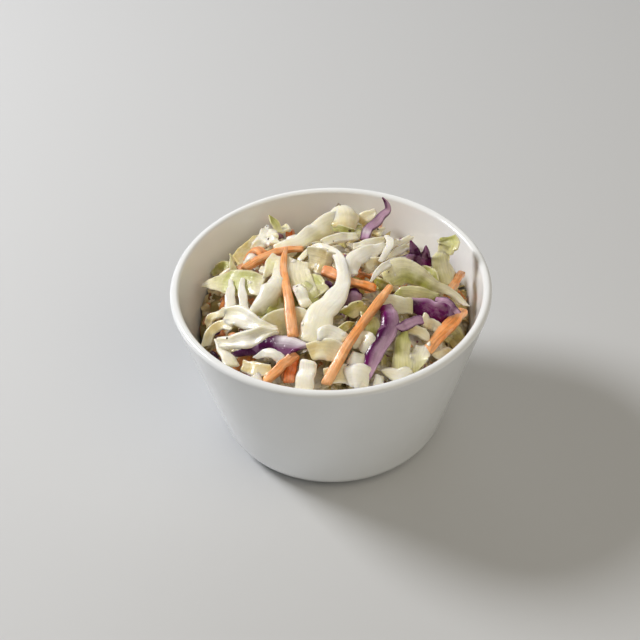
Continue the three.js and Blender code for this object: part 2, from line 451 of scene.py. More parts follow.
# The shreds that lie on top. Each row: kind, the places it runs through (x, y, and height over the heap's
# mean surface), its widths from start to end, and what differs from its kind. A coat is the side that it
# is on, its colour, how much covers, and from where to where along the shred.
laid = [
    # the big ribbon that loops over the middle, and the leaves under its loop
    ("ribbon", [(-11, 7, 4), (-7, 10, 5.5), (-3, 10, 6.5), (2, 5, 7), (4, -2, 6.5), (4, -9, 6),
                (1, -15, 6), (-3, -20, 6), (-5, -25, 5.5), (-8, -30, 4)],
     [2.2, 2.6, 3, 3.2, 3.6, 5, 7.5, 9.5, 11, 9],
     dict(thick=[1.4, 2, 2.4, 2.2, 1.6], roll=[0, 10, 10, 5], curl=[-0.2, -0.5, -0.4],
          tint=["cream", "white", "white", "cream"])),
    ("leaf", [(-7, 7, 4.5), (-3, 5, 4.5), (1, 3, 4)], [8, 10, 9],
     dict(roll=[35], curl=[0.6], ruffle=[0.3], tint=["cream", "shade", "cream"], edge=("white", 0.9))),
    ("leaf", [(-11, 6, 4.5), (-11, -2, 4.5), (-8, -9, 4), (-6, -14, 3)], [8, 9, 7, 5],
     dict(curl=[0.3], ruffle=[0.4], tint=["cream", "cream", "pale", "green"])),
    ("leaf", [(-9, -2, 3.5), (-6, -6, 4), (-3, -11, 3.5)], [6, 7.5, 6],
     dict(ruffle=[0.4], tint=["pale", "green", "pale"])),
    ("leaf", [(-11, -12, 2.5), (-7, -16, 2.5)], [4, 4], dict(tint=["olive"])),
    # carrot sticks
    ("carrot", [(20, -10, 6.5), (14, -20, 6.5), (7, -30, 6), (2, -37, 5.5), (-3, -44, 5)],
     [2.2, 2.7, 2.8, 3, 3.3, 3.2], {}),
    ("carrot", [(-15, 13, 6.5), (-16, 4, 6.5), (-15, -6, 6), (-14, -14, 6), (-13, -28, 4.5)],
     [1.4, 2.4, 2.8, 3.2, 3.6, 3.6], {}),
    ("carrot", [(-30, 9, 5), (-22, 13, 5), (-15, 14, 5), (-9, 13, 5)], [2.8, 2.8, 2.4, 2], {}),
    ("carrot", [(-3, 0, 4), (6, -6, 4.5), (15, -10, 4.5)], [3.6, 3.3, 2.8],
     dict(tint=["deep", "carrot", "carrot"])),
    ("carrot", [(46, 8, 5.5), (43, 2, 5), (39, -6, 4)], [2.6, 2.8, 2.8], {}),
    ("carrot", [(45, -11, 5), (38, -21, 5), (31, -31, 4.5)], [3.6, 4, 4.2],
     dict(coat=[("top", "coated", 0.3, (0, 1))])),
    ("carrot", [(-23, -39, 3.5), (-17, -36, 4), (-12, -33, 4)], [2.8, 3.4, 3.6],
     dict(tint=["coated", "carrot", "deep"])),
    ("carrot", [(-15, -40, 2), (-13, -33, 3)], [3.8, 4], dict(tint=["deep"], coat=[])),
    ("carrot", [(-14, 41, 0.5), (-14, 35, 1.5)], [2.8, 2.8], dict(tint=["deep"], coat=[])),
    ("carrot", [(-20, 17, 4), (-18, 15, 4)], [2.4, 2.4], dict(tint=["deep"], coat=[])),
    # red cabbage: the tall shred, the forked piece, the bent one with its branch, the broad one, the band
    ("red", [(12, 17, 5), (14, 23, 6.5), (17, 25.5, 8.5), (19, 28, 10.5), (21, 30, 13),
             (20.7, 31.5, 15.5), (19.5, 32, 17.5)], [3.2, 3.4, 3.2, 3.2, 2.8, 2.2, 0.5],
     dict(thick=1.3, roll=[10, 20],
          # the whitish band near its foot is a painted highlight
          coat=[("top", "lilac", 1.0, (0, 1)), ("top", "milkHighlight", 0.9, (0.14, 0.24))], ruffle=[0.1])),
    ("red", [(29, 7, 4), (29, 8, 8), (28, 9, 12)], [5, 4, 0.6], dict(coat=[], ruffle=[0.1])),
    ("red", [(33, 7, 4), (33, 8, 8), (33, 9, 11.5)], [5, 3.6, 0.6],
     dict(coat=[("left", "lilac", 0.5, (0.4, 1))], ruffle=[0.1])),
    ("red", [(24, 7, 4), (28, 6, 5), (33, 7, 5)], [3, 5.5, 5],
     dict(roll=[50], coat=[("left", "lilac", 0.8, (0, 0.4))])),
    ("red", [(18, -17, 5.5), (19, -22, 6.5), (19, -27, 6.5), (17, -31, 6.5), (14, -35, 6), (12, -39, 5),
             (11, -42, 3.5)], [5.5, 7, 8, 7.5, 6.5, 6, 4, 1],
     dict(thick=1.7, curl=[-1.2, -1.2, -0.9], roll=[-15, -20, -10], ruffle=[0.2],
          coat=[("left", "lilac", 1.0, (0, 1))])),
    ("red", [(21, -27, 6), (25, -24, 6), (30, -21, 5.5)], [3, 3.4, 3.2],
     dict(thick=1.3, roll=[30], coat=[("top", "lilac", 1.0, (0, 1))], ruffle=[0.2])),
    ("red", [(26, -14, 4), (32, -16, 5), (37, -16, 5), (41, -17, 4)], [4, 7, 7.5, 4],
     dict(thick=1.6, roll=[35], curl=[-0.6], tint=["plum", "violet", "plum"],
          coat=[("leftRim", "lilac", 1.0, (0, 0.6))], edge=None)),
    ("red", [(35, -11, 5.5), (39, -12, 6), (43, -15, 5.5)], [2.5, 3.5, 2.5],
     dict(roll=[20], coat=[("top", "lilac", 1.0, (0, 1))])),
    ("red", [(-34, -26.5, 4), (-27, -28.5, 4.7), (-20.5, -28.8, 5.2), (-17, -30, 5.7),
             (-13.5, -31.3, 5.8), (-10, -32.5, 5.4)], [1, 2.4, 4, 6.5, 8, 6.5],
     dict(thick=1.7, roll=[50, 35, 8, -6], curl=[-0.9], tint=["plum", "plum", "violet"],
          # the whitish coat at its end is a painted highlight
          coat=[("left", "milkHighlight", 1.0, (0.66, 1))], ruffle=[0.2])),
    ("red", [(4, -13, 3), (7, -14, 3.5), (10, -14, 3)], [4, 6, 4.5],
     dict(roll=[45], curl=[-0.4], tint=["plum"], coat=[("top", "lilac", 0.6, (0, 1))])),
    ("red", [(4, 8, 3.5), (7, 5, 3.5)], [3, 3], dict(coat=[])),
    ("red", [(-3, -5, 2), (1, -6, 2)], [3, 3], dict(coat=[], tint=["plum"])),
    ("red", [(6, -9, 2.5), (10, -10, 2.5)], [2.4, 2.4], dict(coat=[], tint=["plum"])),
    # green leaf: the curved one at the right, its folded underside, the ruffled one by the wall, and others
    ("leaf", [(18, -5, 4.5), (24, -2, 6.5), (29, -3, 6.5), (34, -5, 6), (40, -6, 6), (46, -9, 5.5)],
     [5, 10, 9, 6, 3.2, 2.4, 1.5],
     dict(roll=[30, 30, 20, 15], curl=[-0.5], ruffle=[0.3],
          tint=["pale", "green", "olive", "cream", "white"], coat=[("left", "cream", 0.8, (0.05, 1))])),
    ("leaf", [(21, -11, 4), (28, -10, 4.5), (36, -8, 4)], [4, 6, 3],
     dict(roll=[45], curl=[-0.3], ruffle=[0.3], tint=["green", "pale", "green"])),
    ("leaf", [(41, 16, 14), (41, 13, 12.5), (40, 10, 10)], [8.5, 7.5, 5.5],
     dict(roll=[-10, 0], curl=[0.5], ruffle=[1.0, 0.5], ruffleLength=6, slant=15,
          tint=["green", "pale"])),
    ("leaf", [(40, 11, 10.5), (39, 7, 8.5), (40, 3, 6), (41, -1, 4)], [5, 9, 9, 5],
     dict(roll=[-25, -15], curl=[-0.9], ruffle=[0.8], ruffleLength=8, tint=["pale", "cream", "pale"],
          coat=[("right", "olive", 0.5, (0.2, 0.8))])),
    ("leaf", [(31, 4, 4), (34, 2, 4.5), (36, -1, 4)], [3, 5.5, 3],
     dict(roll=[30], ruffle=[0.3], tint=["olive", "green"])),
    ("leaf", [(-45, 11.5, 5), (-40, 8, 5.2), (-35, 4, 5.7), (-29, 0, 5.7), (-23, -3, 5)],
     [1.5, 6, 9.5, 10, 9],
     dict(roll=[15, 10, 5], curl=[-0.12], ruffle=[0.15], lump=0.12, slant=8,
          tint=["white", "pale", "green", "green", "cream"],
          coat=[("left", "olive", 0.5, (0.2, 0.9)), ("right", "cream", 0.6, (0, 0.45))])),
    ("leaf", [(-12, -6, 2.8), (-15.5, -13, 2.5), (-19.5, -17.5, 2.4), (-26, -18, 2.4)], [5, 8, 8.5, 5],
     dict(roll=[-10], curl=[0.1], ruffle=[0.2], tint=["green", "olive", "green"], edge=("green", 0.7))),
    ("leaf", [(-18, 33, 4), (-19, 35, 8), (-21, 37, 12)], [3.4, 3, 0.6],
     dict(tint=["pale", "green", "olive"], ruffle=[0.1])),
    ("leaf", [(-34, 13, 3), (-34, 15, 6), (-35, 17, 9.5)], [2.6, 1.8, 0.5],
     dict(tint=["green", "pale", "pale"], ruffle=[0.1])),
    ("leaf", [(-42, 22, 1.5), (-38, 22, 2.5), (-35, 21, 2)], [2.5, 4, 3],
     dict(tint=["olive", "green"], roll=[30])),
    ("leaf", [(24, -26, 5), (23, -31, 5.5), (23, -36, 5), (23, -39, 4)], [2.5, 6, 8, 7.5],
     dict(roll=[-20, -10], curl=[-0.8], ruffle=[0.9], ruffleLength=7, tint=["green", "pale", "pale"],
          coat=[("right", "olive", 0.8, (0, 0.6))])),
    ("leaf", [(30, -29, 4), (28, -34, 4.5), (28, -37, 3.5)], [4.5, 6.5, 6],
     dict(ruffle=[1.2], ruffleLength=6, tint=["white", "pale"])),
    ("leaf", [(12, -20, 3.5), (13, -25, 4), (14, -30, 3.5)], [4.5, 6, 5],
     dict(ruffle=[0.3], tint=["olive", "green", "olive"])),
    ("leaf", [(4, -20, 3.5), (9, -18, 4), (12, -17, 3.5)], [4, 5.5, 4],
     dict(roll=[40], ruffle=[0.3], tint=["olive", "green"])),
    ("leaf", [(-1, -28, 3.5), (3, -26, 4), (7, -24, 3.5)], [2.4, 3, 2.4],
     dict(roll=[30], ruffle=[0.2], tint=["green", "olive"])),
    ("leaf", [(15, -6, 3), (19, -7, 3)], [4.5, 4], dict(roll=[35], tint=["olive"])),
    # white ribbons behind the middle, on the right
    ("ribbon", [(-2, 13, 6.5), (4, 15, 7), (10, 17, 6.5)], [3.2, 3.6, 3], dict(roll=[15])),
    ("ribbon", [(8, 9.5, 6.5), (13, 11.5, 7), (19, 14.5, 7)], [2.6, 3, 2.4], dict(roll=[15])),
    ("ribbon", [(7, -5, 5.5), (8, 1, 7), (11.5, 4.5, 7.5), (15.5, 6.5, 7.8), (19, 8.5, 8)],
     [4.6, 5.6, 6, 4.6, 3], dict(roll=[10, 15, 20], curl=[-0.3], tint=["white"], ruffle=[0.4])),
    ("ribbon", [(20, 16, 8.5), (21, 11, 9), (19.5, 5, 8.7), (17, 0, 7.5)], [2, 2.8, 2.6, 1.4],
     dict(thick=1.2, curl=[-0.4], ruffle=[0.1], tint=["white"])),
    ("ribbon", [(19.5, 10.5, 6), (24, 15, 6.2), (28.5, 21, 6.5)], [2, 2.6, 2.2], dict(roll=[15])),
    ("ribbon", [(18, 3.5, 6.3), (22.5, 7, 6.8), (27.5, 13, 6.8)], [1.8, 2.8, 2.4], dict(roll=[15])),
    ("ribbon", [(13, -8.5, 5.5), (15.5, -5, 6.8), (19, -1, 7.4), (22.5, 2.3, 7.4), (26, 5, 6.8)],
     [0.6, 2.2, 2.8, 2.8, 1.2], dict(thick=1.1, roll=[10], ruffle=[0.1], tint=["white"])),
    ("ribbon", [(12, 1, 4.5), (15, 2, 4.5), (19, 3, 4.5)], [5, 6, 5],
     dict(roll=[30], tint=["cream", "shade"])),
    # the chunky leaf base at the back of the middle, its ribbon, and what lies round it
    ("rib", [(5, 34, 11.5), (5, 30, 10), (5, 25, 7.5), (4, 22, 6)], [5, 9.5, 11, 10, 8],
     dict(thick=[3, 4.5, 4], curl=[-0.9], square=0.8, lump=0.15, tint=["white", "cream", "shade"])),
    ("leaf", [(3.3, 33.0, 12.0), (4.3, 32.6, 12.5)], [1.1, 1.1],
     dict(thick=0.8, tint=["brown"], edge=None, spacing=0.3)),
    ("ribbon", [(5, 27, 8), (0, 25, 8), (-5, 20, 7), (-10, 16, 6.5), (-15, 15, 6), (-19, 15, 5)],
     [8, 8, 7, 6, 5, 4],
     dict(roll=[-15, -10], curl=[-0.3], thick=1.7, ruffle=[0.6],
          coat=[("left", "pale", 0.8, (0.1, 0.7))])),
    ("leaf", [(0, 24, 6.5), (4, 22, 7), (9, 21, 6)], [2.6, 2.8, 2],
     dict(roll=[35], ruffle=[0.2], tint=["green", "olive"])),
    ("ribbon", [(11, 29, 6), (14, 30, 9), (17, 31, 11)], [5, 5, 2.5],
     dict(roll=[20], tint=["shade", "cream"])),
    ("ribbon", [(16, 21, 5), (18, 26, 6)], [4, 4], dict(tint=["shade"])),
    # back left
    ("ribbon", [(-22, 41, 6), (-22.5, 37, 6), (-24, 29, 5.5), (-26, 23, 5)], [1.4, 3, 3.6, 3.2],
     dict(tint=["white"])),
    # this strip's shade tint and thin olive coat on top are a painted shadow of the bowl's wall
    ("ribbon", [(-23, 36, 4.2), (-26, 30.5, 3.8), (-29.5, 25.5, 3.2), (-33, 20, 2.6)], [3.5, 5, 6, 5.5],
     dict(curl=[0.1], ruffle=[0.1], tint=["shade"], coat=[("top", "olive", 0.25, (0, 1))], edge=None)),
    ("rib", [(-20, 32, 5.5), (-20, 26, 5)], [3.4, 4], dict(thick=2.2)),
    ("ribbon", [(-16, 38, 4.5), (-15, 33, 4)], [3.2, 3.6], dict(tint=["pale", "cream"])),
    ("ribbon", [(-26, 22, 4.5), (-22, 24, 5.5), (-18, 20, 5)], [3.5, 4.5, 3],
     dict(ruffle=[1.0], ruffleLength=5)),
    # left of the middle: the crescent, the leaf beside the carrot, the finger, the pale leaf, two strips
    ("ribbon", [(-17, 7, 6), (-16, -3, 6.5), (-18, -9, 6.5), (-22, -13, 6), (-27, -15, 5)],
     [4, 8, 11, 11, 8, 3],
     dict(thick=1.5, roll=[0, -15, -25], curl=[-0.8, -1.1, -1.1], tint=["cream", "white", "white"],
          # its olive coat on the lower, front edge is painted shade on the underside that faces away from
          # the light
          ruffle=[0.2], coat=[("left", "olive", 0.9, (0.3, 1))])),
    ("ribbon", [(-18, 12, 5), (-20, 6, 5), (-21, 1, 5)], [4, 5, 5, 3.5],
     dict(tint=["cream", "pale", "cream"])),
    ("ribbon", [(-24, 7, 4), (-20, 3, 4)], [3, 2.5], {}),
    ("rib", [(-12, -7, 5), (-10, -12, 5.5), (-8, -17, 4.5)], [3.4, 4, 3.6], dict(thick=2.3)),
    ("ribbon", [(-24, -22, 2), (-18, -20, 2.8), (-12, -20, 2.8), (-8, -22, 2)], [5, 10, 10, 7],
     dict(roll=[30], curl=[0.2], thick=1.0, tint=["cream", "pale", "cream"], groove=0.1)),
    ("ribbon", [(-34, 3, 7), (-34, -5, 7), (-34, -12, 6.5)], [1.8, 3.2, 3.6],
     dict(curl=[-0.4], tint=["white"])),
    ("ribbon", [(-30, 1, 7), (-30, -6, 7), (-29, -14, 6)], [1.4, 2.8, 3],
     dict(curl=[-0.4], tint=["white"])),
    # lower left: the folded ribbons and the purple under them
    ("ribbon", [(-36, -12, 5.6), (-32, -15, 6.4), (-27.5, -18.7, 6.2), (-23, -21.7, 5.8),
                (-18.5, -23.4, 5.2)], [5, 8, 6.5, 4.5, 2],
     dict(roll=[20], thick=1.6, curl=[0.7, 0.5], ruffle=[0.5], groove=0.5)),
    ("ribbon", [(-38.5, -21.5, 5.3), (-33.5, -24, 6), (-28.5, -25.2, 6.2), (-23.3, -25, 6),
                (-17.5, -24.6, 5.4)], [3.2, 5, 6.2, 5.6, 2],
     dict(roll=[20], thick=1.7, curl=[0.8], ruffle=[0.3], groove=0.5)),
    ("ribbon", [(-38, -20, 5), (-36, -26, 5.2), (-33, -31, 4)], [3, 4.2, 4.6],
     dict(roll=[-10], thick=1.8, curl=[-0.5])),
    ("ribbon", [(-43, -18, 2.5), (-41, -15, 4.5), (-37, -15, 5.5), (-33, -18, 5.5)], [3, 3.6, 3.6, 3],
     dict(roll=[20], thick=1, tint=["cream", "shade", "cream"])),
    ("ribbon", [(-43, -8, 1.5), (-41, -8, 3.5), (-37, -9, 4.5), (-34, -10, 4.5)], [2.6, 3.4, 3.2, 3],
     dict(roll=[15], thick=1, tint=["shade", "cream"])),
    ("red", [(-41, -13, 2), (-38, -14, 2.5)], [3, 3], dict(coat=[], tint=["plum"])),
    ("red", [(-42, -20, 0.5), (-38, -26, 0.5)], [4, 4], dict(coat=[], tint=["plum"])),
    ("red", [(-33, -33, 1.5), (-27, -36, 1.5)], [3.4, 3.4], dict(coat=[("top", "lilac", 0.4, (0, 1))])),
    # the front, just behind the lip
    ("ribbon", [(-26, -31, 4), (-21, -31, 5), (-18, -33, 5), (-17, -36, 4)], [1, 3, 4, 2.6],
     dict(roll=[20], curl=[-0.5], tint=["white"])),
    ("ribbon", [(-30, -31, 2.5), (-25, -34, 3), (-20, -36, 2.5)], [4, 5, 4],
     dict(roll=[20], tint=["shade"])),
    ("rib", [(-26, -36, 3.5), (-25, -40, 3)], [3.6, 4], dict(thick=2.4)),
    ("rib", [(-8, -36, 4.5), (-9, -41, 4), (-11, -45, 3)], [5.5, 6.5, 6.5], dict(thick=2.4, roll=[15])),
    ("rib", [(-5, -29, 5.5), (0, -29, 6), (4, -31, 5)], [4, 5, 4.5], dict(thick=2.2, roll=[15])),
    ("ribbon", [(-8, -33, 4), (-2, -33, 4.5), (4, -35, 4)], [6, 8, 6],
     dict(thick=2, roll=[25], tint=["shade", "cream"])),
    ("ribbon", [(-3, -40, 2.5), (3, -40, 3), (8, -41, 2.5)], [5, 7, 6],
     dict(roll=[25], tint=["shade", "cream"])),
    ("rib", [(6, -30, 4.5), (10, -31, 5), (14, -33, 4.5)], [5.5, 7, 6],
     dict(thick=2.4, roll=[25], tint=["cream", "white"])),
    ("rib", [(5, -36, 4), (7, -37, 4.5), (10, -37, 4)], [5, 5.6, 4.6], dict(thick=2.6, roll=[20])),
    ("rib", [(4, -42, 4), (8, -42, 5), (11, -43, 4)], [7, 8.5, 7], dict(thick=2.8, roll=[20])),
    ("rib", [(13, -42, 3), (16, -42, 3)], [4, 4], dict(thick=2.2, roll=[15])),
    ("ribbon", [(17, -40, 3), (22, -40, 3.5), (26, -39, 3)], [4, 6, 4.5], dict(thick=2, roll=[20])),
    ("ribbon", [(25, -24, 4), (29, -25, 4.5), (32, -26, 4)], [3.5, 4, 3],
     dict(thick=1.6, roll=[20], tint=["shade", "cream"])),
    ("ribbon", [(30, -19, 4), (34, -21, 4), (37, -23, 3.5)], [3.6, 4, 3.6],
     dict(roll=[20], tint=["shade", "cream"])),
    ("ribbon", [(34, -31, 1.5), (37, -29, 2), (41, -27, 1.5)], [5, 5, 4],
     dict(roll=[20], tint=["shade"])),
    ("ribbon", [(17, -15, 4.5), (22, -16, 5), (27, -16, 4.5)], [4.5, 6, 5],
     dict(thick=1.0, roll=[35], curl=[0.1], ruffle=[0.1], slant=15, groove=0,
          tint=["cream", "cream", "pale"])),
]


uneven = {
    # no two shreds of a kind are alike: how far each may stray from its row
    "path": 0.16,
    "twist": 4,  # degrees
    "width": 0.05,
    "thickness": 0.07,
    "edge": 0.05,
    "nicks": 0.03,
    "dents": 6,  # waves of dents, one over another
    "dentLengths": (4, 10),
    "cover": 0.3,
    "tone": 0.03,
    "steepest": 50,  # degrees of slant
}


def shredRings(path, spacing, thick, chance):
    # where the rings of a shred lie: closer at both ends, where it is rounded off
    places, run = smoothPath(path, spacing)
    length = run[-1]
    near = min(0.35 * np.max(thick), 0.12 * length)
    ends = np.array([0, 0.12, 0.45, 1.0]) * near
    inner = run[(run > near * 1.5) & (run < length - near * 1.5)]
    where = np.concatenate([ends, inner, (length - ends)[::-1]])
    places = np.stack([np.interp(where, run, places[:, k]) for k in range(3)], 1)
    share = where / length
    fromEnd = np.minimum(where, length - where)
    ending = np.where(fromEnd < near, np.sqrt(np.clip(1 - (1 - fromEnd / near) ** 2, 0.02, 1)), 1.0)
    for k in range(3):
        places[:, k] += wander(share, chance, uneven["path"])
    return places, where, share, ending


def shredAxes(places, share, roll, chance, facingWay):
    # at each ring: along the shred, out of its face, and to its side
    along = np.gradient(places, axis=0)
    along /= np.linalg.norm(along, axis=1)[:, None]
    normal = facingWay - (along @ facingWay)[:, None] * along
    normal /= np.linalg.norm(normal, axis=1)[:, None]
    side = np.cross(along, normal)
    angle = np.radians(spread(roll, share) + wander(share, chance, uneven["twist"]))[:, None]
    rolled = normal * np.cos(angle) + side * np.sin(angle)
    return along, rolled, side * np.cos(angle) - normal * np.sin(angle)


def shredSection(where, share, u, v, halfWide, halfThick, cut, chance):
    # each ring's points, as distances to the side and out of the face
    # a cut edge is never quite straight: each of the two swings on its own
    edges = []
    for k in range(2):
        swinging = 1 + wander(share, chance, uneven["edge"], 4)
        edges.append(swinging + smooth(chance.normal(size=len(share)), 5) * uneven["nicks"])
    left, right = edges
    swing = np.where(u < 0, left[:, None], right[:, None])
    bend = spread(cut["curl"], share)[:, None]
    bend = np.where(np.abs(bend) < 0.02, 0.02, bend)
    turn = bend * u[None, :]
    flat = halfWide[:, None] * np.sin(turn) / bend * swing
    lift = halfWide[:, None] * (1 - np.cos(turn)) / bend
    waves = 2 * math.pi * where / cut["ruffleLength"]
    phaseLeft, phaseRight = chance.uniform(0, 2 * math.pi, 2)
    wave = np.where(u < 0, np.sin(waves[:, None] + phaseLeft), np.sin(waves[:, None] * 1.15 + phaseRight))
    lift = lift + spread(cut["ruffle"], share)[:, None] * np.abs(u[None, :]) ** 1.6 * wave
    # soft lumps and dents a few millimetres across, which bend the shred and swell it
    dents = np.zeros((len(where), len(u)))
    for k in range(uneven["dents"]):
        size = chance.uniform(*uneven["dentLengths"])
        skew = chance.uniform(-1, 1)
        turnBy = 2 * math.pi * chance.random()
        across = where[:, None] + skew * u[None, :] * halfWide[:, None]
        dents += np.sin(2 * math.pi * across / size + turnBy) / uneven["dents"] ** 0.5
    lift = lift + dents * cut["lump"] * (0.4 + 0.6 * np.abs(u[None, :]))
    swell = 1 + 0.4 * np.roll(dents, len(u) // 4, axis=1) * min(cut["lump"] / np.max(cut["thick"]), 0.3)
    body = swell * v[None, :] * halfThick[:, None] * (1 - cut["groove"] * np.exp(-(u[None, :] / 0.3) ** 2))
    return flat - body * np.sin(turn), lift + body * np.cos(turn)


def shredTints(share, u, v, cut, chance):
    # the tints drawn out along the shred, and over them its coats and the colour of its cut edges
    stops = np.array([toLinear(colours[name]) for name in cut["tint"]])
    shades = np.repeat(spread(stops, share)[:, None, :], len(u), axis=1)
    sides = {"top": v, "left": -u, "right": u, "leftRim": -u - 0.6}
    for facing, name, amount, (first, last) in cut["coat"]:
        mask = np.clip(sides[facing] * 4 + 0.3, 0, 1)[None, :] * amount
        mask = mask * np.clip(1 + wander(share, chance, uneven["cover"], 5), 0, 1)[:, None]
        within = np.clip((share - first) * 8 + 0.5, 0, 1) * np.clip((last - share) * 8 + 0.5, 0, 1)
        mask = (mask * within[:, None])[:, :, None]
        shades = shades * (1 - mask) + toLinear(colours[name]) * mask
    if cut["edge"]:
        name, amount = cut["edge"]
        mask = (np.clip((np.abs(u) - 0.72) / 0.28, 0, 1) * amount)[None, :, None]
        shades = shades * (1 - mask) + toLinear(colours[name]) * mask
    return shades * (1 + chance.normal() * uneven["tone"])


def makeShred(path, wide, cut, chance, spacing, around, facingWay):
    # one shred as rings of points, with each point's tint and its place in the shred's fibres
    places, where, share, ending = shredRings(path, spacing, cut["thick"], chance)
    along, normal, side = shredAxes(places, share, cut["roll"], chance, facingWay)
    phi = np.linspace(0, 2 * math.pi, around, endpoint=False)
    u = np.sign(np.cos(phi)) * np.abs(np.cos(phi)) ** cut["square"]  # across, from edge to edge
    v = np.sign(np.sin(phi)) * np.abs(np.sin(phi)) ** 0.5  # through, from underneath to the top
    halfWide = 0.5 * spread(wide, share) * (1 + wander(share, chance, uneven["width"]))
    halfWide = halfWide * (0.55 + 0.45 * ending)
    halfThick = 0.5 * spread(cut["thick"], share) * (1 + wander(share, chance, uneven["thickness"])) * ending
    halfThick = np.minimum(halfThick, halfWide * 0.95)
    x, y = shredSection(where, share, u, v, halfWide, halfThick, cut, chance)
    vertices = places[:, None, :] + side[:, None, :] * x[:, :, None] + normal[:, None, :] * y[:, :, None]
    # the knife crosses a shred at a slant, so one corner of each end reaches further
    for fromEnd in (where, where[-1] - where):
        slant = np.clip(chance.normal() * cut["slant"], -uneven["steepest"], uneven["steepest"])
        push = x * math.tan(math.radians(slant)) * np.exp(-fromEnd / (0.6 * halfWide.max()))[:, None]
        vertices += along[:, None, :] * push[:, :, None]
    shades = shredTints(share, u, v, cut, chance)
    fibre = np.empty_like(vertices)
    fibre[:, :, 0] = where[:, None] + chance.uniform(0, 500)
    fibre[:, :, 1] = u[None, :] * halfWide[:, None]
    fibre[:, :, 2] = v[None, :] * halfThick[:, None] + chance.uniform(0, 500)
    return vertices, shades, fibre


class Pile:
    # how high the heap has grown, and how high it may grow, on a fine square grid
    def __init__(self):
        self.cell = 0.5
        self.half = 50.0
        line = np.arange(-self.half, self.half + self.cell / 2, self.cell)
        self.x, self.y = np.meshgrid(line, line, indexing="ij")
        self.mean = heapHeight(self.x, self.y)
        self.top = self.mean - heap["coreDepth"]
        self.wallFrom = innerRadius(self.mean)
        self.out = np.hypot(self.x, self.y)
        self.open = 99.0
        self.ceiling = np.full(self.top.shape, self.open)

    def cells(self, x, y):
        last = len(self.top) - 1
        i = np.clip(np.rint((x + self.half) / self.cell).astype(int), 0, last)
        j = np.clip(np.rint((y + self.half) / self.cell).astype(int), 0, last)
        return i, j

    def near(self, distance):
        # where a listed shred is above, or within this distance
        mask = self.ceiling < self.open
        for k in range(int(round(distance / self.cell))):
            mask = np.any([mask] + [np.roll(mask, by, axis) for by in (1, -1) for axis in (0, 1)], axis=0)
        return mask

    def press(self, vertices):
        # listed shreds keep the rest below them
        points = vertices.reshape(-1, 3)
        for dx in (-self.cell, 0, self.cell):
            for dy in (-self.cell, 0, self.cell):
                i, j = self.cells(points[:, 0] + dx, points[:, 1] + dy)
                np.minimum.at(self.ceiling, (i, j), points[:, 2])


def keepInside(vertices):
    # nothing reaches into the wall: what would is pressed flat against it
    out = np.hypot(vertices[..., 0], vertices[..., 1])
    z = np.clip(vertices[..., 2], 0, bowl["height"])
    limit = innerRadius(z) - heap["wallGap"]
    over = (out > limit) & (vertices[..., 2] < bowl["height"] + 1)
    scale = np.where(over, limit / np.maximum(out, 1e-6), 1.0)
    vertices[..., 0] *= scale
    vertices[..., 1] *= scale
    return vertices


fill = {
    # the shreds below and between the listed ones
    "most": 900,
    "looks": 400,  # the deepest of this many places takes the next shred
    "misses": 60,  # and this many looks in vain end the filling
    "lowest": 1.2,  # a hollow less deep than this takes none
    "colouredFrom": 2.5,  # carrot and red cabbage go only into hollows at least this deep
    "kinds": ["ribbon", "rib", "leaf", "red", "carrot"],
    "shares": [0.60, 0.03, 0.23, 0.07, 0.07],
    "lengths": {"ribbon": (18, 36), "rib": (8, 16), "leaf": (14, 28), "red": (12, 26), "carrot": (16, 32)},
    "widths": {"ribbon": (3, 8), "rib": (3.5, 5.5), "leaf": (6, 11), "red": (3, 6), "carrot": (2.6, 3.2)},
    "reversed": 0.4,  # this share has its tints from end to start
    "sink": 1.7,  # depth under the heap's surface, below the listed shreds
    "sinkWithin": 4.0,  # and as far as this beside them
    "openSink": 1.0,  # and elsewhere
    "uneven": 1.8,
    "wallDrop": 3.5,  # lower still beside the wall
    "wallDropWithin": 6.0,
    "wallMargin": 1.0,
    "hollow": (-44.0, -3.0, 9.0, 5.0),  # at the left the heap falls short of the wall: x, y, radius, depth
    "clear": 0.2,  # distance under the listed shreds
    "spacing": 2.0,
    "around": 8,
}
topping = {
    # loose shreds over the parts where no listed shred lies
    "count": 75,
    "tries": 3000,
    "shares": [0.50, 0.06, 0.20, 0.10, 0.14],
    "apart": 2.0,  # clear distance from the listed shreds
    "wallMargin": 3.0,
    "rise": (0.3, 2.6),
    "thickest": 9.0,
    "proud": 2.5,  # where more than a share of the ground is this far over the mean surface, none is added
    "proudShare": 0.4,
    "nearest": 9.0,  # none lies further to the front than this
    "sightLine": 41.5,  # and seen from the front at this angle, they stay behind the crest
    "under": 0.6,  # by this much
    "columns": 60,  # the crest is found in this many columns from left to right
    "columnWide": 2.0,
    "spacing": 1.0,
    "around": 16,
}


dropped = {
    # how a shred that is dropped differs from its kind, and how it comes to lie
    "thicknesses": (0.75, 1.15),  # times its kind's
    "widths": (0.7, 1, 1, 0.8),  # from start to end, times its own
    "ruffles": (0.3, 1.0),
    "curl": 0.45,
    "bow": 1.2,
    "tip": 1.0,
    "wallClear": 0.7,
    "mostLean": 35,  # degrees
    "leaning": 0.8,  # this share of the ground's slope
    "places": 7,  # about this many along its path
}


